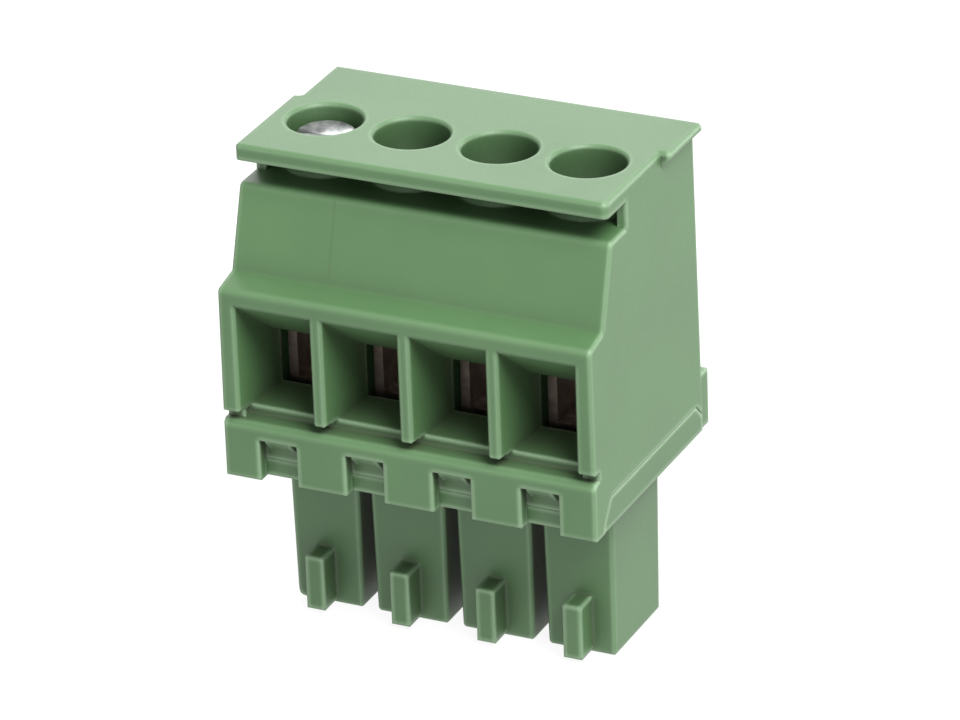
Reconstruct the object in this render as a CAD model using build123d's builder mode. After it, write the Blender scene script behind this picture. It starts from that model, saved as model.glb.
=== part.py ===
"""Pluggable screw terminal block, standing on its contact fingers.

Millimetres. X runs along the row of poles, -Y is the wire side, +Z is the screwdriver side.
The origin is the middle of the bounding box at its base. Depths are counted from the wire
side's face and heights from the ends of the fingers, unless a name says otherwise.
"""
import os
from math import radians, tan

from build123d import *

os.makedirs("parts", exist_ok=True)

# Row of poles
poles = 4
pitch = 3.81
end_margin = 2.385

# Side draft of the body, and the rounding of its edges
side_draft = 0.09
edge_radius = 0.1
brow_radius = 0.25

# Heights, from the finger ends upwards
finger_height = 7.13
skirt_height = 2.49
slit_height = 0.38
entry_height = 4.7
lintel_height = 0.65
shoulder_rise = 0.29
face_height = 3.36
slot_height = 1.13
lid_thickness = 0.67

# Wire side outline, as depths behind the front face
ledge_chamfer = 0.22
end_notch_depth = 0.5
slit_depth = 0.93
shoulder_depth = 1.29
face_top_depth = 2.3
slot_depth = 3.8

# Back, and the foot that stands out from it
back_top_depth = 10.35
back_draft = 0.2
foot_reach = 0.85
foot_inset = 0.1
foot_height = 2.42

# Lid, whose rear part is set over to one side so that neighbouring blocks interlock
lid_front_reach = 0.35
lid_step_depth = 7.2
lid_back_reach = 0.05
lid_shift = 0.34
lid_right_reach = 0.3
lid_corner_radius = 0.25
lid_step_radius = 0.15
lid_edge_chamfer = 0.12

# Screwdriver wells, and the pocket between their collars under the lid
screw_depth = 5.42
well_diameter = 3.07
well_rim_chamfer = 0.1
collar_wall = 0.24
pocket_depth = 5.0
pocket_end_wall = 0.5
shank_clearance = 0.15

# Wire entries: a wide mouth narrowing to a window
post_width = 0.5
mouth_chamfer = 0.07
window_width = 2.75
window_height = 2.7
funnel_depth = 2.55

# Clamp chambers, around the sleeves and the legs of the contacts
chamber_front_gap = 0.67
chamber_back_gap = 0.1
chamber_clearance = 0.2
chamber_headroom = 0.3

# Skirt around the carrier
skirt_side_wall = 0.65
skirt_front_wall = 0.6
skirt_back_wall = 0.75
shelf_depth = 1.3
shelf_height = 0.77
carrier_block_height = 1.87
skirt_window_width = 1.68
skirt_window_height = 1.81
nose_width = 1.15
nose_reach = 0.42
nose_drop = 0.62
nose_lip = 0.16
nose_offset = 0.08

# Side tongues of the carrier, flush with the skirt
tongue_front_depth = 0.85
tongue_low_rise = 0.33
tongue_height = 1.32
tongue_front_slant = 0.7
tongue_back_slant = 0.62
fit_gap = 0.03

# Contact fingers
finger_front_wall = 0.85
finger_back_wall = 0.7
finger_slot = 0.52
finger_draft_angle = 0.5
finger_front_draft_angle = 1.1
finger_end_margin = 1.435
finger_corner_cut = 0.28
finger_chamfer = 0.1
rib_width = 0.8
rib_depth = 1.12
rib_base_rise = 0.2
rib_height = 2.35
pin_setback = 0.53
pin_opening = 1.3
pin_lead_in = 0.35
finger_floor = 0.8
cavity_width = 1.8
cavity_front_gap = 0.2
cavity_back_gap = 0.05
pad_rise = 0.3
pad_clearance = 0.06

# Rising clamp sleeves
sleeve_width = 2.8
sleeve_length = 2.8
sleeve_wall = 0.4
sleeve_floor = 0.55
sleeve_opening = 2.67
sleeve_roof = 0.6
sleeve_collar = 0.8
sleeve_collar_wall = 0.32
sleeve_bend = 0.3
sleeve_rest_gap = 0.06
sleeve_travel = 2.0
groove_depth = 0.1
groove_count = 3

# Current bars and spring contacts, folded from one strip
strip_width = 1.7
strip_thickness = 0.4
spring_thickness = 0.3
bar_setback = 0.03
bar_roof_gap = 0.1
leg_gap = 0.23
bend_radius = 0.3
spring_knee_height = 5.2
spring_bridge_rise = 0.9
spring_reach = 1.15
spring_throat_height = 2.4
spring_throat_gap = 0.56
spring_mouth_height = 1.05
spring_mouth_flare = 0.36

# Captive screws, the first one backed out as in the photograph
thread_diameter = 2.0
thread_clearance = 0.03
head_diameter = 2.56
head_height = 1.25
head_chamfer = 0.12
drive_width = 0.45
drive_depth = 0.6
tip_chamfer = 0.25
bearing_gap = 0.05
head_sink = 1.75
head_gap = 0.25
first_screw_lift = 1.17
drive_angles = [12, 55, -28, 78]

# Widths and depths that follow
width = (poles - 1) * pitch + 2 * end_margin
middle_x = -lid_right_reach / 2
pole_x = [middle_x + (i - (poles - 1) / 2) * pitch for i in range(poles)]

back_foot_depth = back_top_depth + back_draft
depth = back_foot_depth + foot_reach
lid_front_depth = face_top_depth - lid_front_reach
lid_back_depth = back_top_depth + lid_back_reach
carrier_back_depth = back_foot_depth - skirt_back_wall
tongue_back_depth = back_foot_depth + fit_gap

sleeve_front_depth = screw_depth - sleeve_length / 2
sleeve_back_depth = screw_depth + sleeve_length / 2
bar_front_depth = sleeve_front_depth + bar_setback
leg_depth = sleeve_back_depth + leg_gap + strip_thickness / 2
pin_depth = screw_depth + pin_setback
spring_front_depth = pin_depth - spring_reach
chamber_front_depth = sleeve_front_depth - chamber_front_gap
chamber_back_depth = leg_depth + strip_thickness / 2 + chamber_back_gap
chamber_width = sleeve_width + 2 * chamber_clearance
cavity_front_depth = spring_front_depth - spring_thickness / 2 - cavity_front_gap
cavity_back_depth = leg_depth + strip_thickness / 2 + cavity_back_gap
finger_front_depth = cavity_front_depth - finger_front_wall
finger_back_depth = cavity_back_depth + finger_back_wall

front = -depth / 2
screw_y = front + screw_depth
cavity_half = width / 2 - skirt_side_wall
mouth_width = pitch - post_width
slit_half = (poles * pitch - post_width) / 2
tongue_thickness = skirt_side_wall
tongue_recess = tongue_thickness + 2 * fit_gap

# Heights that follow
seat_z = finger_height
finger_draft = seat_z * tan(radians(finger_draft_angle))
finger_front_draft = seat_z * tan(radians(finger_front_draft_angle))
ledge_z = seat_z + skirt_height
sill_z = ledge_z + slit_height
lintel_z = sill_z + entry_height
frame_top_z = lintel_z + lintel_height
shoulder_z = frame_top_z + shoulder_rise
slot_floor_z = shoulder_z + face_height
lid_z = slot_floor_z + slot_height
top_z = lid_z + lid_thickness
well_floor_z = top_z - head_sink - head_height - head_gap

shelf_z = seat_z + shelf_height
block_top_z = seat_z + carrier_block_height
pad_top_z = block_top_z + pad_rise
sleeve_base_z = pad_top_z + sleeve_rest_gap
sleeve_floor_z = sleeve_base_z + sleeve_floor
sleeve_roof_z = sleeve_floor_z + sleeve_opening
sleeve_collar_z = sleeve_roof_z + sleeve_roof + sleeve_collar
chamber_top_z = sleeve_collar_z + sleeve_travel + chamber_headroom
bar_top_z = sleeve_roof_z - bar_roof_gap
bar_mid_z = bar_top_z - strip_thickness / 2
spring_bridge_z = spring_knee_height + spring_bridge_rise


def box(x0, x1, y0, y1, z0, z1, mode=Mode.ADD):
    """A block between two opposite corners."""
    with Locations(((x0 + x1) / 2, (y0 + y1) / 2, (z0 + z1) / 2)):
        Box(x1 - x0, y1 - y0, z1 - z0, mode=mode)


def tongue_outline(gap):
    """Side tongue's outline in the YZ plane, drawn in by a gap on its upper edges."""
    y0 = front + tongue_front_depth + gap
    y1 = front + tongue_back_depth - gap
    z1 = seat_z + tongue_height - gap
    return [
        (y0, seat_z),
        (y0, seat_z + tongue_low_rise),
        (y0 + tongue_front_slant, z1),
        (y1 - tongue_back_slant, z1),
        (y1, z1 - tongue_back_slant),
        (y1, seat_z),
    ]


# Housing: frame, wells, chambers and skirt in one moulding
with BuildPart() as housing:
    with BuildSketch(Plane.YZ.offset(middle_x)):
        with BuildLine():
            Polyline(
                (front, seat_z),
                (front, ledge_z - ledge_chamfer),
                (front + ledge_chamfer, ledge_z),
                (front + end_notch_depth, ledge_z),
                (front + end_notch_depth, sill_z),
                (front, sill_z),
                (front, frame_top_z),
                (front + shoulder_depth, shoulder_z),
                (front + face_top_depth, slot_floor_z),
                (front + slot_depth, slot_floor_z),
                (front + slot_depth, lid_z),
                (front + back_top_depth, lid_z),
                (front + back_foot_depth, seat_z),
                close=True,
            )
        make_face()
    extrude(amount=width / 2, both=True)

    # Side draft above the skirt
    with BuildSketch(Plane.XZ.offset(-depth)):
        with BuildLine():
            Polyline(
                (middle_x - width / 2, seat_z),
                (middle_x - width / 2, ledge_z),
                (middle_x - width / 2 + side_draft, lid_z),
                (middle_x + width / 2 - side_draft, lid_z),
                (middle_x + width / 2, ledge_z),
                (middle_x + width / 2, seat_z),
                close=True,
            )
        make_face()
    extrude(amount=2 * depth, mode=Mode.INTERSECT)

    # Its two brows rounded softly, then its other long edges, apart from the inner ones and the
    # lines where the draft starts
    brows = housing.edges().filter_by_position(Axis.Z, frame_top_z, frame_top_z)
    brows += housing.edges().filter_by_position(Axis.Z, slot_floor_z, slot_floor_z).sort_by(Axis.Y)[:1]
    fillet(brows, radius=brow_radius)
    long_edges = housing.edges().filter_by(lambda edge: edge.length > 2 * end_notch_depth)
    long_edges = long_edges.filter_by_position(Axis.Z, seat_z, slot_floor_z)
    slot_edge = long_edges.filter_by_position(Axis.Y, front + slot_depth, front + slot_depth)
    draft_lines = long_edges.filter_by_position(Axis.Z, ledge_z, sill_z)
    draft_lines = draft_lines.filter_by_position(Axis.Y, front + end_notch_depth, front + depth)
    shoulder_edge = long_edges.filter_by_position(Axis.Z, shoulder_z, shoulder_z)
    fillet(long_edges - slot_edge - shoulder_edge - draft_lines, radius=edge_radius)

    # Back foot
    foot_half = width / 2 - foot_inset
    box(
        middle_x - foot_half,
        middle_x + foot_half,
        front + carrier_back_depth,
        front + depth,
        seat_z,
        seat_z + foot_height,
    )
    fillet(housing.faces().sort_by(Axis.Y)[-1].edges(), radius=edge_radius)

    # Pocket under the lid, and the collars of the wells standing in it
    pocket_half = width / 2 - pocket_end_wall
    box(
        middle_x - pocket_half,
        middle_x + pocket_half,
        front + slot_depth,
        front + pocket_depth,
        slot_floor_z,
        lid_z,
        Mode.SUBTRACT,
    )
    with Locations(*[(x, screw_y, (slot_floor_z + lid_z) / 2) for x in pole_x]):
        Cylinder(well_diameter / 2 + collar_wall, slot_height)

    # Lid
    lid_half = width / 2 - side_draft
    lid_right = width / 2 + lid_right_reach
    with BuildSketch(Plane.XY.offset(lid_z)) as lid_outline:
        with BuildLine():
            Polyline(
                (middle_x - lid_half, front + lid_front_depth),
                (middle_x + lid_half, front + lid_front_depth),
                (middle_x + lid_half, front + lid_step_depth),
                (middle_x + lid_right, front + lid_step_depth),
                (middle_x + lid_right, front + lid_back_depth),
                (middle_x - lid_half + lid_shift, front + lid_back_depth),
                (middle_x - lid_half + lid_shift, front + lid_step_depth),
                (middle_x - lid_half, front + lid_step_depth),
                close=True,
            )
        make_face()
        front_corners = lid_outline.vertices().group_by(Axis.Y)[0]
        fillet(front_corners, radius=lid_corner_radius)
        step_corners = lid_outline.vertices().filter_by_position(
            Axis.Y, front + lid_step_depth, front + lid_back_depth
        )
        fillet(step_corners, radius=lid_step_radius)
    extrude(amount=lid_thickness)
    chamfer(housing.faces().sort_by(Axis.Z)[-1].edges(), length=lid_edge_chamfer)

    # Slanting underside of the lid's overhang
    overhang = lid_right_reach + side_draft
    with BuildSketch(Plane.XZ.offset(-front - lid_step_depth)):
        with BuildLine():
            Polyline(
                (middle_x + lid_right - overhang, lid_z),
                (middle_x + lid_right, lid_z),
                (middle_x + lid_right, lid_z + overhang),
                close=True,
            )
        make_face()
    extrude(amount=-(lid_back_depth - lid_step_depth), mode=Mode.SUBTRACT)

    # Screwdriver wells, their rims and the holes for the shanks
    with BuildSketch(Plane.XY.offset(well_floor_z)):
        with Locations(*[(x, screw_y) for x in pole_x]):
            Circle(well_diameter / 2)
    extrude(amount=top_z - well_floor_z, mode=Mode.SUBTRACT)
    rims = housing.faces().sort_by(Axis.Z)[-1].edges().filter_by(GeomType.CIRCLE)
    rims = rims.filter_by(lambda rim: rim.length > pitch)
    chamfer(rims, length=well_rim_chamfer)
    with Locations(*[(x, screw_y, (chamber_top_z + well_floor_z) / 2) for x in pole_x]):
        Cylinder(
            thread_diameter / 2 + shank_clearance,
            well_floor_z - chamber_top_z,
            mode=Mode.SUBTRACT,
        )

    # Clamp chambers, open towards the carrier
    for x in pole_x:
        box(
            x - chamber_width / 2,
            x + chamber_width / 2,
            front + chamber_front_depth,
            front + chamber_back_depth,
            block_top_z,
            chamber_top_z,
            Mode.SUBTRACT,
        )

    # Wire entries: each narrows in plan, and one sloping roof runs across them all
    window_top_z = sill_z + window_height
    with BuildSketch(Plane.XY.offset(sill_z)):
        for x in pole_x:
            with BuildLine():
                Polyline(
                    (x - mouth_width / 2, front),
                    (x + mouth_width / 2, front),
                    (x + window_width / 2, front + funnel_depth),
                    (x - window_width / 2, front + funnel_depth),
                    close=True,
                )
            make_face()
    extrude(amount=entry_height, mode=Mode.SUBTRACT)
    with BuildSketch(Plane.YZ.offset(middle_x)):
        with BuildLine():
            Polyline(
                (front, lintel_z),
                (front + funnel_depth, window_top_z),
                (front + funnel_depth, lintel_z),
                close=True,
            )
        make_face()
    extrude(amount=slit_half, both=True)
    mouth_edges = housing.edges().filter_by_position(Axis.Y, front, front)
    mouth_edges = mouth_edges.filter_by_position(Axis.X, middle_x - cavity_half, middle_x + cavity_half)
    mouth_edges = mouth_edges.filter_by_position(Axis.Z, (sill_z + lintel_z) / 2, lintel_z)
    chamfer(mouth_edges, length=mouth_chamfer)
    for x in pole_x:
        box(
            x - window_width / 2,
            x + window_width / 2,
            front + funnel_depth,
            front + chamber_front_depth,
            sill_z,
            window_top_z,
            Mode.SUBTRACT,
        )

    # Slit between the frame and the skirt
    box(
        middle_x - slit_half,
        middle_x + slit_half,
        front,
        front + slit_depth,
        ledge_z,
        sill_z,
        Mode.SUBTRACT,
    )

    # Room for the carrier inside the skirt
    box(
        middle_x - cavity_half,
        middle_x + cavity_half,
        front + shelf_depth,
        front + carrier_back_depth,
        seat_z,
        block_top_z,
        Mode.SUBTRACT,
    )
    box(
        middle_x - cavity_half,
        middle_x + cavity_half,
        front + skirt_front_wall,
        front + shelf_depth,
        seat_z,
        shelf_z,
        Mode.SUBTRACT,
    )
    with BuildSketch(Plane.YZ.offset(middle_x - width / 2)):
        with BuildLine():
            Polyline(*tongue_outline(0), close=True)
        make_face()
    extrude(amount=tongue_recess, mode=Mode.SUBTRACT)
    with BuildSketch(Plane.YZ.offset(middle_x + width / 2)):
        with BuildLine():
            Polyline(*tongue_outline(0), close=True)
        make_face()
    extrude(amount=-tongue_recess, mode=Mode.SUBTRACT)

    # Windows in the skirt's front, each with a small sloping nose at its top
    skirt_window_z = seat_z + skirt_window_height
    for x in pole_x:
        box(
            x - skirt_window_width / 2,
            x + skirt_window_width / 2,
            front,
            front + skirt_front_wall,
            seat_z,
            skirt_window_z,
            Mode.SUBTRACT,
        )
        with BuildSketch(Plane.YZ.offset(x - nose_offset)):
            with BuildLine():
                Polyline(
                    (front + skirt_front_wall, skirt_window_z),
                    (front + skirt_front_wall - nose_reach, skirt_window_z),
                    (front + skirt_front_wall - nose_reach, skirt_window_z - nose_lip),
                    (front + skirt_front_wall, skirt_window_z - nose_drop),
                    close=True,
                )
            make_face()
        extrude(amount=nose_width / 2, both=True)

housing.part.label = "housing"
export_step(housing.part, "parts/housing.step")


# Carrier: a flange inside the skirt, and one hollow finger for each contact
with BuildPart() as carrier:
    box(
        middle_x - cavity_half + fit_gap,
        middle_x + cavity_half - fit_gap,
        front + shelf_depth + fit_gap,
        front + carrier_back_depth - fit_gap,
        seat_z,
        block_top_z - fit_gap,
    )
    box(
        middle_x - cavity_half + fit_gap,
        middle_x + cavity_half - fit_gap,
        front + skirt_front_wall + fit_gap,
        front + shelf_depth + fit_gap,
        seat_z,
        shelf_z - fit_gap,
    )
    with BuildSketch(Plane.YZ.offset(middle_x - width / 2 + fit_gap)):
        with BuildLine():
            Polyline(*tongue_outline(fit_gap), close=True)
        make_face()
    extrude(amount=tongue_thickness)
    with BuildSketch(Plane.YZ.offset(middle_x + width / 2 - fit_gap)):
        with BuildLine():
            Polyline(*tongue_outline(fit_gap), close=True)
        make_face()
    extrude(amount=-tongue_thickness)

    # Locating pads that enter the clamp chambers
    for x in pole_x:
        box(
            x - chamber_width / 2 + pad_clearance,
            x + chamber_width / 2 - pad_clearance,
            front + chamber_front_depth + pad_clearance,
            front + chamber_back_depth - pad_clearance,
            block_top_z - fit_gap,
            pad_top_z,
        )

    # Fingers with draft, the outer two narrower on the outside
    for i, x in enumerate(pole_x):
        left = finger_end_margin if i == 0 else (pitch - finger_slot) / 2
        right = finger_end_margin if i == poles - 1 else (pitch - finger_slot) / 2
        box(x - left, x + right, front + finger_front_depth, front + finger_back_depth, 0, seat_z)
    seat = Plane.XY.offset(seat_z)
    finger_faces = carrier.faces().filter_by_position(Axis.Z, seat_z / 3, 2 * seat_z / 3)
    front_faces = finger_faces.group_by(Axis.Y)[0]
    draft(finger_faces - front_faces, seat, -finger_draft_angle)
    finger_faces = carrier.faces().filter_by_position(Axis.Z, seat_z / 3, 2 * seat_z / 3)
    draft(finger_faces.group_by(Axis.Y)[0], seat, -finger_front_draft_angle)
    upright_edges = carrier.edges().filter_by_position(Axis.Z, seat_z / 3, 2 * seat_z / 3)
    end_edges = carrier.faces().sort_by(Axis.Z)[:poles].edges()
    chamfer(upright_edges + end_edges, length=finger_chamfer)

    # Coding rib low on the front of each finger
    for x in pole_x:
        box(
            x - rib_width / 2,
            x + rib_width / 2,
            front + finger_front_depth + finger_front_draft - rib_depth,
            front + finger_front_depth + finger_front_draft,
            rib_base_rise,
            rib_base_rise + rib_height,
        )

    # Contact cavities and the lead-ins for the header's pins
    for x in pole_x:
        box(
            x - cavity_width / 2,
            x + cavity_width / 2,
            front + cavity_front_depth,
            front + cavity_back_depth,
            finger_floor,
            pad_top_z,
            Mode.SUBTRACT,
        )
        box(
            x - pin_opening / 2,
            x + pin_opening / 2,
            front + pin_depth - pin_opening / 2,
            front + pin_depth + pin_opening / 2,
            0,
            finger_floor,
            Mode.SUBTRACT,
        )
        with BuildSketch(Plane.XY):
            with Locations((x, front + pin_depth)):
                Rectangle(pin_opening + 2 * pin_lead_in, pin_opening + 2 * pin_lead_in)
        with BuildSketch(Plane.XY.offset(pin_lead_in)):
            with Locations((x, front + pin_depth)):
                Rectangle(pin_opening, pin_opening)
        loft(ruled=True, mode=Mode.SUBTRACT)

    # Keyed corner at the foot of the first finger
    corner_x = pole_x[0] - finger_end_margin + finger_draft
    with BuildSketch(Plane.XZ.offset(-front - finger_front_depth)):
        with BuildLine():
            Polyline(
                (corner_x - finger_corner_cut, 0),
                (corner_x + finger_corner_cut, 0),
                (corner_x - finger_corner_cut, 2 * finger_corner_cut),
                close=True,
            )
        make_face()
    extrude(amount=-(finger_back_depth - finger_front_depth), mode=Mode.SUBTRACT)

carrier.part.label = "carrier"
export_step(carrier.part, "parts/carrier.step")


# Clamp sleeve of each pole: a strip bent round into a frame, with a threaded collar
for i, x in enumerate(pole_x):
    with BuildPart() as sleeve:
        with BuildSketch(Plane.XZ.offset(-(screw_y - sleeve_length / 2))):
            with Locations((x, (sleeve_base_z + sleeve_roof_z + sleeve_roof) / 2)):
                RectangleRounded(
                    sleeve_width,
                    sleeve_roof_z + sleeve_roof - sleeve_base_z,
                    sleeve_bend,
                )
            with Locations((x, (sleeve_floor_z + sleeve_roof_z) / 2)):
                Rectangle(
                    sleeve_width - 2 * sleeve_wall,
                    sleeve_opening,
                    mode=Mode.SUBTRACT,
                )
        extrude(amount=-sleeve_length)

        # Threaded collar on the roof
        with BuildSketch(Plane.XY.offset(sleeve_roof_z + sleeve_roof)):
            with Locations((x, screw_y)):
                Circle(thread_diameter / 2 + sleeve_collar_wall)
        extrude(amount=sleeve_collar)
        with BuildSketch(Plane.XY.offset(sleeve_roof_z)):
            with Locations((x, screw_y)):
                Circle(thread_diameter / 2 + thread_clearance)
        extrude(amount=sleeve_roof + sleeve_collar, mode=Mode.SUBTRACT)

        # Grip grooves across the floor
        groove_step = sleeve_length / (groove_count + 1)
        for k in range(groove_count):
            y = screw_y - sleeve_length / 2 + (k + 1) * groove_step
            with BuildSketch(Plane.YZ.offset(x)):
                with BuildLine():
                    Polyline(
                        (y - groove_depth, sleeve_floor_z),
                        (y, sleeve_floor_z - groove_depth),
                        (y + groove_depth, sleeve_floor_z),
                        close=True,
                    )
                make_face()
            extrude(amount=sleeve_width / 2 - sleeve_wall, both=True, mode=Mode.SUBTRACT)
    sleeve.part.label = f"sleeve_{i + 1}"
    export_step(sleeve.part, f"parts/sleeve_{i + 1}.step")


# Contact of each pole: current bar, leg and a two-leaf spring socket
for i, x in enumerate(pole_x):
    leg_y = front + leg_depth
    pin_y = front + pin_depth
    rear_throat = pin_y + (spring_throat_gap + strip_thickness) / 2
    front_throat = pin_y - (spring_throat_gap + spring_thickness) / 2
    with BuildPart() as contact:
        with BuildSketch(Plane.YZ.offset(x)):
            with BuildLine():
                FilletPolyline(
                    (front + bar_front_depth, bar_mid_z),
                    (leg_y, bar_mid_z),
                    (leg_y, spring_knee_height),
                    (rear_throat, spring_throat_height),
                    (rear_throat + spring_mouth_flare, spring_mouth_height),
                    radius=bend_radius,
                )
            trace(line_width=strip_thickness)
        extrude(amount=strip_width / 2, both=True)
        with BuildSketch(Plane.YZ.offset(x)):
            with BuildLine():
                FilletPolyline(
                    (leg_y, spring_bridge_z),
                    (front + spring_front_depth, spring_bridge_z),
                    (front + spring_front_depth, spring_knee_height),
                    (front_throat, spring_throat_height),
                    (front_throat - spring_mouth_flare, spring_mouth_height),
                    radius=bend_radius,
                )
            trace(line_width=spring_thickness)
        extrude(amount=strip_width / 2, both=True)
    contact.part.label = f"contact_{i + 1}"
    export_step(contact.part, f"parts/contact_{i + 1}.step")


# Screw of each pole
for i, x in enumerate(pole_x):
    lift = first_screw_lift if i == 0 else 0
    tip_z = bar_top_z + bearing_gap + lift
    head_top_z = top_z - head_sink + lift
    with BuildPart() as screw:
        with BuildSketch(Plane.XY.offset(tip_z)):
            with Locations((x, screw_y)):
                Circle(thread_diameter / 2)
        extrude(amount=head_top_z - head_height - tip_z)
        chamfer(screw.edges().group_by(Axis.Z)[0], length=tip_chamfer)
        with BuildSketch(Plane.XY.offset(head_top_z - head_height)):
            with Locations((x, screw_y)):
                Circle(head_diameter / 2)
        extrude(amount=head_height)
        chamfer(screw.edges().group_by(Axis.Z)[-1], length=head_chamfer)
        with BuildSketch(Plane.XY.offset(head_top_z)):
            with Locations(Location((x, screw_y), drive_angles[i])):
                Rectangle(head_diameter + 2 * drive_width, drive_width)
        extrude(amount=-drive_depth, mode=Mode.SUBTRACT)
    screw.part.label = f"screw_{i + 1}"
    export_step(screw.part, f"parts/screw_{i + 1}.step")
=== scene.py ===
import math

import bmesh
import bpy
import numpy as np
from mathutils import Matrix, Vector


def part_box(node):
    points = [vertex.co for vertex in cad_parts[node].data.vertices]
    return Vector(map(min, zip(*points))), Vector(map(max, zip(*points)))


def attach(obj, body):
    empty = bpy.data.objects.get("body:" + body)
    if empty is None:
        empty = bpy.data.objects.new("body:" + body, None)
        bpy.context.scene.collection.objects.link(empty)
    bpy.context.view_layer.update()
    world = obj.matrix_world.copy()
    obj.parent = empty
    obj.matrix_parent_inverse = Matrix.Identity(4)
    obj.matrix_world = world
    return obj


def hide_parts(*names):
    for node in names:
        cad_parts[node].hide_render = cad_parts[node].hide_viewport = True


# The pluggable terminal block's looks: moulded green plastic, plated clamps and slotted screws.
# Blender units are metres. A length written with * mm is in metres, and any other in millimetres.
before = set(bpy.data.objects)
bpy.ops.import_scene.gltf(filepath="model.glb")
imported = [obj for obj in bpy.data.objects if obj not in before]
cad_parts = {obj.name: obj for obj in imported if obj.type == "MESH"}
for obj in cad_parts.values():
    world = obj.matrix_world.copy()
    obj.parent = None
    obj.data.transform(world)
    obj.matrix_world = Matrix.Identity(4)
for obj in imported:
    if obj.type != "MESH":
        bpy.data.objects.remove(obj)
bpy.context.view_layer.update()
mm = 0.001
poleCount = sum(name.startswith("screw_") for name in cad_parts)
print("frame loaded:", len(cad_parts), "nodes,", poleCount, "poles")


def boxOf(name):
    # a node's low and high corners in millimetres
    return [np.array(corner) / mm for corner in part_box(name)]


raySamples = 6  # of the nodes that feel for edges and corners


class Kit:
    # one material's node tree; node() makes any node, and values come back wrapped for maths
    def __init__(self, name):
        self.material = bpy.data.materials.new(name)
        self.material.use_nodes = True
        self.tree = self.material.node_tree
        self.tree.nodes.clear()
        self.output = self.tree.nodes.new("ShaderNodeOutputMaterial")

    def node(self, kind, settings=None, **sockets):
        # the settings are set first, and then each socket gets its value or link
        made = self.tree.nodes.new(kind)
        for key, value in (settings or {}).items():
            setattr(made, key, value)
        for key, value in sockets.items():
            self.feed(made.inputs[key.replace("_", " ")], value)
        return made

    def feed(self, socket, value):
        if isinstance(value, Wrapped):
            value = value.socket
        if isinstance(value, bpy.types.NodeSocket):
            self.tree.links.new(value, socket)
        elif socket.type == "RGBA":
            socket.default_value = (*value, 1)
        else:
            socket.default_value = value

    def wrap(self, socket):
        return Wrapped(self, socket)

    def point(self, stretch=(1, 1, 1), turn=(0, 0, 0)):
        # Object coordinates in millimetres, stretched and turned
        coords = self.node("ShaderNodeTexCoord").outputs["Object"]
        scale = [s / mm for s in stretch]
        return self.node("ShaderNodeMapping", Vector=coords, Scale=scale, Rotation=turn).outputs["Vector"]

    def axis(self, index):
        # one Object coordinate in millimetres
        parts = self.node("ShaderNodeSeparateXYZ", Vector=self.point())
        return self.wrap(parts.outputs[index])

    def noise(self, where, scale, detail, roughness):
        # the scale counts the noise's cells in a millimetre
        made = self.node("ShaderNodeTexNoise", Vector=where, Scale=scale, Detail=detail, Roughness=roughness)
        return self.wrap(made.outputs["Fac"])

    def spread(self, value, low, high, start=0.3, end=0.7):
        # start..end, by itself the middle range of a noise, stretched to low..high
        ends = {"From_Min": start, "From_Max": end, "To_Min": low, "To_Max": high}
        made = self.node("ShaderNodeMapRange", Value=value, **ends)
        return self.wrap(made.outputs["Result"])

    def mixColour(self, factor, first, second):
        # the Mix node's sockets of one name differ by type, so the colour ones go by number
        made = self.node("ShaderNodeMix", {"data_type": "RGBA"})
        for index, value in ((0, factor), (6, first), (7, second)):
            self.feed(made.inputs[index], value)
        return made.outputs[2]

    def nearness(self, reach, inside):
        # how near the surface is to a corner: an outer one when the rays run inside the piece
        settings = {"samples": raySamples, "inside": inside, "only_local": True}
        made = self.node("ShaderNodeAmbientOcclusion", settings, Distance=reach)
        return 1 - self.wrap(made.outputs["AO"])

    def bump(self, height, strength, distance, normal=None):
        sockets = {"Height": height, "Strength": strength, "Distance": distance}
        if normal is not None:
            sockets["Normal"] = normal
        return self.node("ShaderNodeBump", **sockets).outputs["Normal"]

    def finish(self, **sockets):
        shader = self.node("ShaderNodeBsdfPrincipled", **sockets)
        self.feed(self.output.inputs["Surface"], shader.outputs["BSDF"])
        return self.material


class Wrapped:
    # a number socket that Python's operators can work on
    def __init__(self, kit, socket):
        self.kit, self.socket = kit, socket

    def maths(self, operation, first, second=None):
        made = self.kit.node("ShaderNodeMath", {"operation": operation})
        self.kit.feed(made.inputs[0], first)
        if second is not None:
            self.kit.feed(made.inputs[1], second)
        return Wrapped(self.kit, made.outputs[0])

    def size(self):
        return self.maths("ABSOLUTE", self)

    def nearest(self):
        return self.maths("ROUND", self)

    def __add__(self, other):
        return self.maths("ADD", self, other)

    def __sub__(self, other):
        return self.maths("SUBTRACT", self, other)

    def __rsub__(self, other):
        return self.maths("SUBTRACT", other, self)

    def __mul__(self, other):
        return self.maths("MULTIPLY", self, other)

    def __gt__(self, other):
        return self.maths("GREATER_THAN", self, other)

    def __lt__(self, other):
        return self.maths("LESS_THAN", self, other)

    __radd__ = __add__
    __rmul__ = __mul__


firstAxis = np.mean(boxOf("screw_1"), axis=0)
secondAxis = np.mean(boxOf("screw_2"), axis=0)

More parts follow.
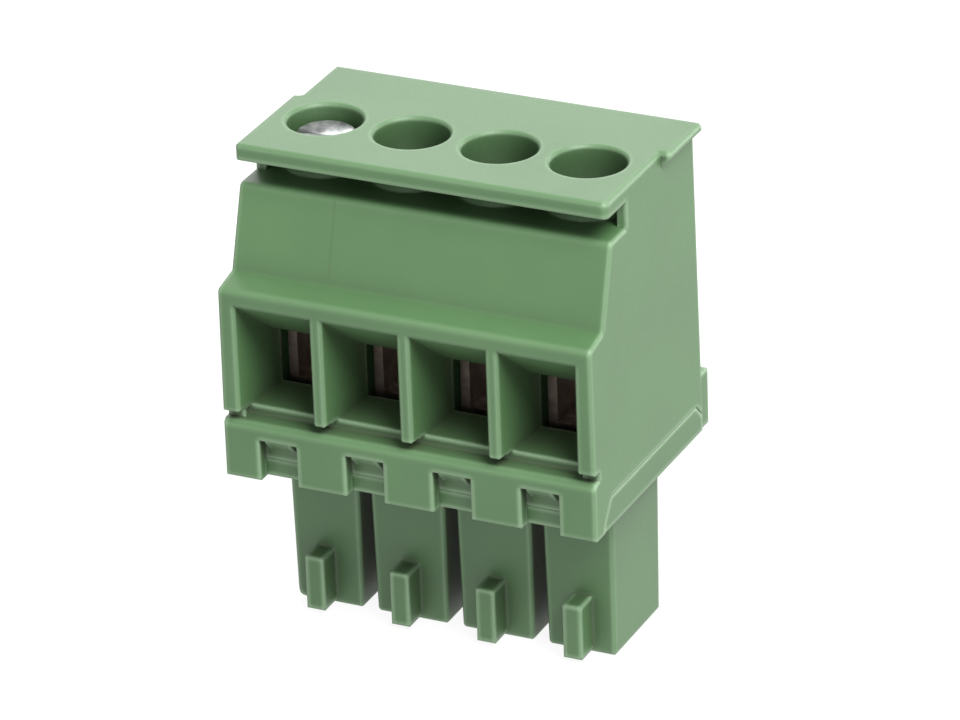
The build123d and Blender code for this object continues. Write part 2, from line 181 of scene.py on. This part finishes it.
plastic = {
    "green": (0.058, 0.124, 0.049),
    "shade": (0.050, 0.110, 0.043),
    "cloud": {"scale": 0.22, "detail": 4.0, "roughness": 0.55},
    "grain": {"scale": 14.0, "detail": 3.0, "roughness": 0.6},
    "grainStrength": 0.35,
    "grainDepth": 0.004 * mm,
    "roughness": (0.40, 0.52),
    "ior": 1.50,
    "edgeRadius": 0.22 * mm,
    # outer edges get a painted highlight
    "edgeReach": 0.24 * mm,
    "edgeHighlightTint": (0.19, 0.29, 0.175),
    "edgeHighlightSpread": {"low": 0.0, "high": 0.85, "start": 0.06, "end": 0.46},
    # inner corners get painted shade, and the weld line below takes the same dark tint
    "cornerReach": 0.3 * mm,
    "cornerShadeAndWeldTint": (0.032, 0.050, 0.023),
    "cornerShade": {"low": 0.0, "high": 0.4, "start": 0.45, "end": 1.0},
    # recesses get painted shade too, by one rule up to wellHeight and by another above it, in the screws'
    # wells
    "deepReach": 3.0 * mm,
    "recessShadeTint": (0.032, 0.040, 0.022),
    "recessShade": {"low": 0.0, "high": 0.9, "start": 0.16, "end": 0.78},
    "wellHeight": 15.0,
    "wellShadeTint": (0.020, 0.042, 0.015),
    "wellShade": {"low": 0.0, "high": 1.0, "start": 0.27, "end": 0.47},
    # the pocket under the lid is open at the front, and loses this share of the wells' shade
    "pocketLoss": 0.9,
    "pocket": {
        "firstPole": firstAxis[0],
        "pitch": secondAxis[0] - firstAxis[0],
        "axisDepth": firstAxis[1],
        "collarRadius": 1.65,
        "floor": 18.95,
        "lid": 20.12,
    },
    # the faint upright line where the plastic's flows met, on the upper front face
    "weldShare": 0.3,
    "weld": {
        "across": -3.96,
        "halfWidth": 0.035,
        "wander": 0.06,
        "waver": {"scale": 1.5, "detail": 2.0, "roughness": 0.5},
        "low": 15.9,
        "high": 18.9,
        "back": -2.0,
    },
}

# the carrier is a moulding of its own, a shade darker: partly its own tone, partly painted shade for its
# fingers under the skirt
shadedCarrierPlastic = dict(plastic, green=(0.053, 0.113, 0.045), shade=(0.046, 0.101, 0.040))


def weldLine(kit, weld):
    # 1 on the weld line and 0 elsewhere
    across, back, up = (kit.axis(index) for index in range(3))
    wander = (kit.noise(kit.point(), **weld["waver"]) - 0.5) * weld["wander"]
    onLine = (across + wander - weld["across"]).size() < weld["halfWidth"]
    return onLine * (up > weld["low"]) * (up < weld["high"]) * (back < weld["back"])


def openPocket(kit, pocket):
    # 1 outside the wells' collars, between the pocket's floor and the lid, and 0 elsewhere
    across, back, up = (kit.axis(index) for index in range(3))
    poles = (across - pocket["firstPole"]) * (1 / pocket["pitch"])
    aside = (poles - poles.nearest()) * pocket["pitch"]
    behind = back - pocket["axisDepth"]
    outside = (aside * aside + behind * behind) > pocket["collarRadius"] ** 2
    return outside * (up > pocket["floor"]) * (up < pocket["lid"])


def mouldedPlastic(name, settings):
    # satin moulded plastic: a faint cloudy tint, a fine grain, edges that look rounded, a painted highlight
    # on outer edges and painted shade in inner corners and recesses
    kit = Kit(name)
    where = kit.point()
    cloud = kit.noise(where, **settings["cloud"])
    grain = kit.noise(where, **settings["grain"])
    colour = kit.mixColour(kit.spread(cloud, 0, 1), settings["shade"], settings["green"])

    # painted shade: the more the nearby surfaces close in, the darker the recesses and wells
    depths = kit.nearness(settings["deepReach"], False)
    isWell = kit.axis(2) > settings["wellHeight"]
    recessShade = kit.spread(depths, **settings["recessShade"])
    wellShade = kit.spread(depths, **settings["wellShade"])
    deepShade = recessShade + (wellShade - recessShade) * isWell
    deepShade = deepShade * (1 - settings["pocketLoss"] * openPocket(kit, settings["pocket"]))
    deepShadeTint = kit.mixColour(isWell, settings["recessShadeTint"], settings["wellShadeTint"])
    colour = kit.mixColour(deepShade, colour, deepShadeTint)

    weld = settings["weldShare"] * weldLine(kit, settings["weld"])
    # painted shade in inner corners
    corners = kit.spread(kit.nearness(settings["cornerReach"], False), **settings["cornerShade"])
    # a painted highlight on outer edges, over the rounded look of the Bevel normal
    edges = kit.spread(kit.nearness(settings["edgeReach"], True), **settings["edgeHighlightSpread"])
    colour = kit.mixColour(weld, colour, settings["cornerShadeAndWeldTint"])
    colour = kit.mixColour(corners, colour, settings["cornerShadeAndWeldTint"])
    colour = kit.mixColour(edges, colour, settings["edgeHighlightTint"])

    rounded = kit.node("ShaderNodeBevel", {"samples": raySamples}, Radius=settings["edgeRadius"])
    relief = (settings["grainStrength"], settings["grainDepth"])
    return kit.finish(
        Base_Color=colour,
        Roughness=kit.spread(grain, *settings["roughness"]),
        Normal=kit.bump(grain, *relief, rounded.outputs["Normal"]),
        IOR=settings["ior"],
    )


screwSteel = {
    "zinc": (0.40, 0.41, 0.40),
    "dull": (0.20, 0.21, 0.21),
    "roughness": (0.50, 0.66),
    "patches": {"scale": 2.2, "detail": 4.0, "roughness": 0.6},
    "patchSpread": {"low": 0.0, "high": 1.0, "start": 0.36, "end": 0.64},
    "patchShare": 0.6,
    "patchStrength": 0.3,
    "patchDepth": 0.02 * mm,
    "scratches": {"scale": 3.0, "detail": 2.0, "roughness": 0.5},
    "scratchStretch": (0.6, 9.0, 0.6),
    "scratchTurn": (0, 0, 0.5),
    "scratchStrength": 0.25,
    "scratchDepth": 0.01 * mm,
}


def platedSteel(name, settings):
    # zinc plated steel: dull patches and fine scratches
    kit = Kit(name)
    patches = kit.noise(kit.point(), **settings["patches"])
    scratched = kit.point(settings["scratchStretch"], settings["scratchTurn"])
    scratches = kit.noise(scratched, **settings["scratches"])
    patchTint = kit.spread(patches, **settings["patchSpread"])
    wear = patches * settings["patchShare"] + scratches * (1 - settings["patchShare"])
    scored = kit.bump(scratches, settings["scratchStrength"], settings["scratchDepth"])
    return kit.finish(
        Base_Color=kit.mixColour(patchTint, settings["dull"], settings["zinc"]),
        Metallic=1.0,
        Roughness=kit.spread(wear, *settings["roughness"]),
        Normal=kit.bump(patches, settings["patchStrength"], settings["patchDepth"], scored),
    )


rolledStrip = {
    "rolled": {"scale": 1.2, "detail": 2.0, "roughness": 0.5},
    "rolledStretch": (1.2, 1.2, 7.0),
    "rolledStrength": 0.1,
    "rolledDepth": 0.005 * mm,
    "stains": {"scale": 1.6, "detail": 3.0, "roughness": 0.5},
}
clampNickel = dict(rolledStrip, bright=(0.40, 0.33, 0.28), stained=(0.27, 0.21, 0.18), roughness=(0.34, 0.44))
contactTin = dict(rolledStrip, bright=(0.68, 0.67, 0.63), stained=(0.52, 0.50, 0.45), roughness=(0.28, 0.46))


def platedStrip(name, settings):
    # rolled and plated strip: a fine level grain and faint stains
    kit = Kit(name)
    rolled = kit.noise(kit.point(settings["rolledStretch"]), **settings["rolled"])
    stains = kit.noise(kit.point(), **settings["stains"])
    return kit.finish(
        Base_Color=kit.mixColour(kit.spread(stains, 0, 1), settings["stained"], settings["bright"]),
        Metallic=1.0,
        Roughness=kit.spread(rolled, *settings["roughness"]),
        Normal=kit.bump(rolled, settings["rolledStrength"], settings["rolledDepth"]),
    )


def dressNodes():
    # every node of the frame takes the finish of its kind of piece; the screws' one comes back
    finishes = {
        "housing": mouldedPlastic("housingGreen", plastic),
        "carrier": mouldedPlastic("carrierGreenShaded", shadedCarrierPlastic),
        "screw": platedSteel("screwZinc", screwSteel),
        "sleeve": platedStrip("clampNickel", clampNickel),
        "contact": platedStrip("contactTin", contactTin),
    }
    for name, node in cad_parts.items():
        node.data.materials.clear()
        node.data.materials.append(finishes[name.split("_")[0]])
    return finishes["screw"]


# headHeight is the head's in the CAD, stub the shank left on it, and runOut the thread's fading
screwThread = {
    "pitch": 0.4,
    "depth": 0.2,
    "majorRadius": 0.985,  # just inside the clamp's side walls
    "tipRadius": 0.75,
    "headHeight": 1.25,
    "stub": 0.02,
    "runOut": 0.5,
    "aroundCount": 36,
    "rowsPerTurn": 8,
    "mergeReach": 0.0001,
    "sharpAngle": 35,
}


def threadMesh(centre, tipHeight, topHeight, cut):
    # A right-hand thread on a grid of height and angle: the radius falls from the crest to the root
    # and back once a pitch, the pattern climbs one pitch a turn, and it fades out under the head.
    # The tip is a cone that widens from tipRadius by as much as it rises. Two flat caps close it.
    rowCount = int((topHeight - tipHeight) / cut["pitch"] * cut["rowsPerTurn"])
    around = cut["aroundCount"]
    heights = np.linspace(tipHeight, topHeight, rowCount + 1)[:, None]
    angles = np.linspace(0, 2 * np.pi, around, endpoint=False)[None, :]
    phase = heights / cut["pitch"] - angles / (2 * np.pi)
    groove = 1 - np.abs(2 * (phase - np.floor(phase)) - 1)
    fade = np.clip((topHeight - heights) / cut["runOut"], 0, 1)
    radius = cut["majorRadius"] - cut["depth"] * groove * fade
    radius = np.minimum(radius, cut["tipRadius"] + heights - tipHeight)
    across = centre[0] + radius * np.cos(angles)
    back = centre[1] + radius * np.sin(angles)
    points = np.stack([across, back, heights + 0 * angles], axis=-1).reshape(-1, 3) * mm
    lower = np.arange(rowCount * around).reshape(rowCount, around)
    beside = np.roll(lower, -1, axis=1)
    walls = np.stack([lower, beside, beside + around, lower + around], axis=-1).reshape(-1, 4)
    rim = np.arange(around)
    caps = [rim[::-1].tolist(), (rim + rowCount * around).tolist()]
    mesh = bpy.data.meshes.new("threadShank")
    mesh.from_pydata(points.tolist(), [], walls.tolist() + caps)
    return mesh


def cutThread(name, steel, cut):
    # the node's own head, merged and parted from its shank, above a threaded shank
    low, high = boxOf(name)
    partHeight = high[2] - cut["headHeight"] - cut["stub"]
    built = bmesh.new()
    built.from_mesh(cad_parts[name].data)
    bmesh.ops.remove_doubles(built, verts=built.verts, dist=cut["mergeReach"] * mm)
    everything = built.verts[:] + built.edges[:] + built.faces[:]
    parting = {"plane_co": (0, 0, partHeight * mm), "plane_no": (0, 0, 1), "clear_inner": True}
    bmesh.ops.bisect_plane(built, geom=everything, **parting)
    bmesh.ops.holes_fill(built, edges=[edge for edge in built.edges if edge.is_boundary])
    shank = threadMesh((low[:2] + high[:2]) / 2, low[2], partHeight, cut)
    built.from_mesh(shank)
    bpy.data.meshes.remove(shank)
    bmesh.ops.recalc_face_normals(built, faces=built.faces)
    mesh = bpy.data.meshes.new("threaded_" + name)
    built.to_mesh(mesh)
    built.free()
    mesh.shade_smooth()
    mesh.set_sharp_from_angle(angle=math.radians(cut["sharpAngle"]))
    mesh.materials.append(steel)
    piece = bpy.data.objects.new("threaded_" + name, mesh)
    bpy.context.collection.objects.link(piece)
    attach(piece, name)
    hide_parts(name)


steel = dressNodes()
print("nodes dressed")
for k in range(poleCount):
    cutThread(f"screw_{k + 1}", steel, screwThread)
print("threads cut on", poleCount, "screws")

paperFloor = {
    "colour": (0.10, 0.10, 0.10),
    "glow": 0.90,
    "half": 400 * mm,
    "drop": 0.02 * mm,  # clear of the fingers' ends
    "paper": {"scale": 0.15, "detail": 2.0, "roughness": 0.5},
    "roughness": (0.75, 0.85),
}


def layFloor(settings):
    # a flat square under the block that reaches half to each side, out of view
    corners = np.array([(-1, -1, -1), (1, -1, -1), (1, 1, -1), (-1, 1, -1)], float)
    corners *= (settings["half"], settings["half"], settings["drop"])
    mesh = bpy.data.meshes.new("floor")
    mesh.from_pydata(corners.tolist(), [], [(0, 1, 2, 3)])
    floor = bpy.data.objects.new("floor", mesh)
    bpy.context.collection.objects.link(floor)
    kit = Kit("floorPaper")
    paper = kit.noise(kit.point(), **settings["paper"])
    mesh.materials.append(kit.finish(
        Base_Color=settings["colour"],
        Roughness=kit.spread(paper, *settings["roughness"]),
        Emission_Color=(1, 1, 1),
        Emission_Strength=settings["glow"],
    ))


# each soft light has a place and a size in millimetres and a power in watts
studio = {
    "worldLight": 0.82,
    "aim": (0, 0, 11),
    "lights": [
        {"name": "keySoft", "place": (112, -62, 188), "size": 130, "power": 0.98},
        {"name": "frontFill", "place": (40, -240, 26), "size": 150, "power": 0.14},
        {"name": "topSheen", "place": (-90, 185, 115), "size": 170, "power": 0.17},
        {"name": "sideSheen", "place": (120, 215, 40), "size": 130, "power": 0.36},
    ],
}


def lightStudio(settings):
    world = bpy.data.worlds.new("studio")
    world.use_nodes = True
    background = world.node_tree.nodes["Background"]
    background.inputs["Color"].default_value = (1, 1, 1, 1)
    background.inputs["Strength"].default_value = settings["worldLight"]
    bpy.context.scene.world = world
    for spec in settings["lights"]:
        lamp = bpy.data.lights.new(spec["name"], "AREA")
        lamp.shape = "DISK"
        lamp.size = spec["size"] * mm
        lamp.energy = spec["power"]
        holder = bpy.data.objects.new(spec["name"], lamp)
        holder.location = Vector(spec["place"]) * mm
        holder.rotation_mode = "QUATERNION"
        ray = Vector(settings["aim"]) - Vector(spec["place"])
        holder.rotation_quaternion = ray.to_track_quat("-Z", "Y")
        bpy.context.collection.objects.link(holder)


# the camera of the photograph: a long lens from the front right and above, rolled a little
viewpoint = {
    "azimuth": 25.892,
    "elevation": 25.985,
    "roll": -2.096,
    "distance": 257.60,
    "target": (0.359, 0.142, 11.079),
    "lens": 242.11,
    "sensorWidth": 36,
    "nearest": 10,
    "furthest": 2000,
}


def placeCamera(settings):
    azimuth, elevation, roll = (math.radians(settings[key]) for key in ("azimuth", "elevation", "roll"))
    back = Vector((
        math.sin(azimuth) * math.cos(elevation),
        -math.cos(azimuth) * math.cos(elevation),
        math.sin(elevation),
    ))
    lens = bpy.data.cameras.new("photoLens")
    lens.lens = settings["lens"]
    lens.sensor_width = settings["sensorWidth"]
    lens.clip_start = settings["nearest"] * mm
    lens.clip_end = settings["furthest"] * mm
    camera = bpy.data.objects.new("photoCamera", lens)
    camera.location = Vector(settings["target"]) * mm + back * settings["distance"] * mm
    camera.rotation_mode = "QUATERNION"
    level = (-back).to_track_quat("-Z", "Y")
    camera.rotation_quaternion = level @ Matrix.Rotation(roll, 4, "Z").to_quaternion()
    bpy.context.collection.objects.link(camera)
    bpy.context.scene.camera = camera


layFloor(paperFloor)
lightStudio(studio)
placeCamera(viewpoint)
bpy.context.scene.view_settings.view_transform = "Standard"
print("studio ready")
